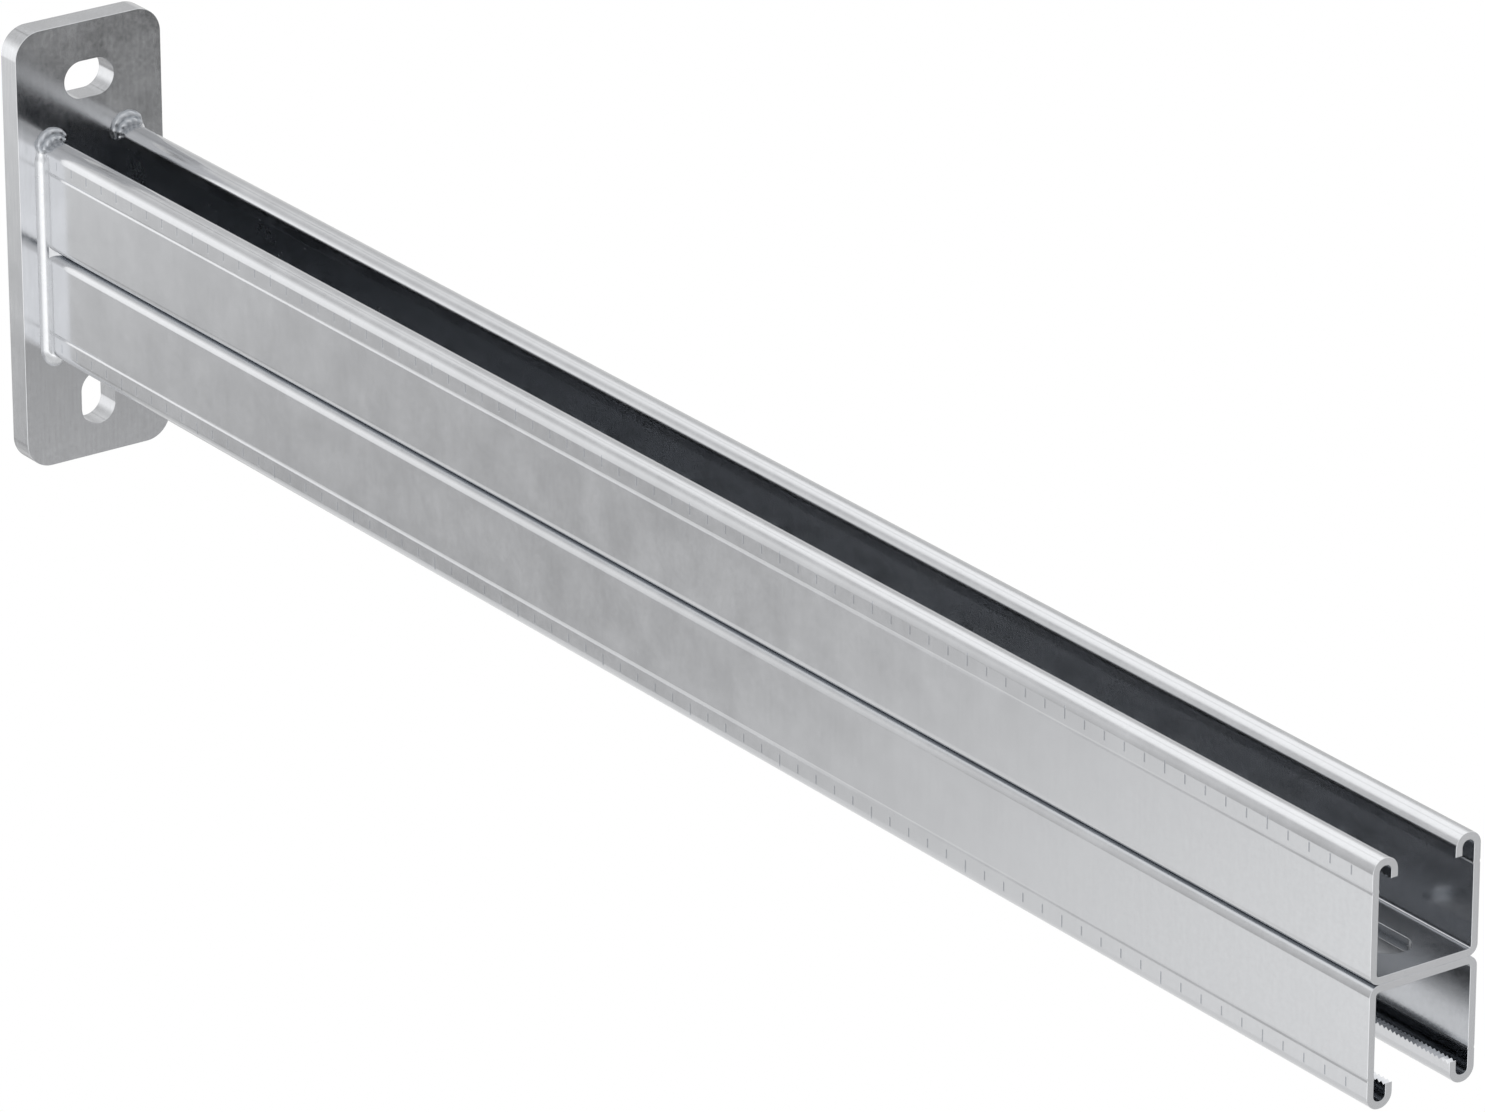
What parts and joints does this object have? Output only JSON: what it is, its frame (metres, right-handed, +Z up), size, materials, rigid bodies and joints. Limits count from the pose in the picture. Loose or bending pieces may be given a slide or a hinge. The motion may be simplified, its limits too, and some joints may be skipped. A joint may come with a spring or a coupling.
{
  "type": "cantilever strut arm",
  "caption": "Steel cantilever arm of lipped strut channel welded back to back, standing out from an upright wall plate with slotted fixing holes.",
  "frame": {"origin": "centre of the wall plate's back face, level with the seam between the channels", "axes": "+X out from the wall along the arm, +Y across the arm, +Z up"},
  "size_m": [0.76, 0.06, 0.165],
  "materials": {
    "plate_steel": "zinc coated, satin",
    "channel_steel": "zinc coated strip, bright satin",
    "weld_steel": "zinc coated weld metal, bright"
  },
  "bodies": {
    "root": {"wall_plate": "plate_steel", "upper_channel": "channel_steel", "lower_channel": "channel_steel", "weld_left": "weld_steel", "weld_right": "weld_steel"}
  },
  "joints": []
}
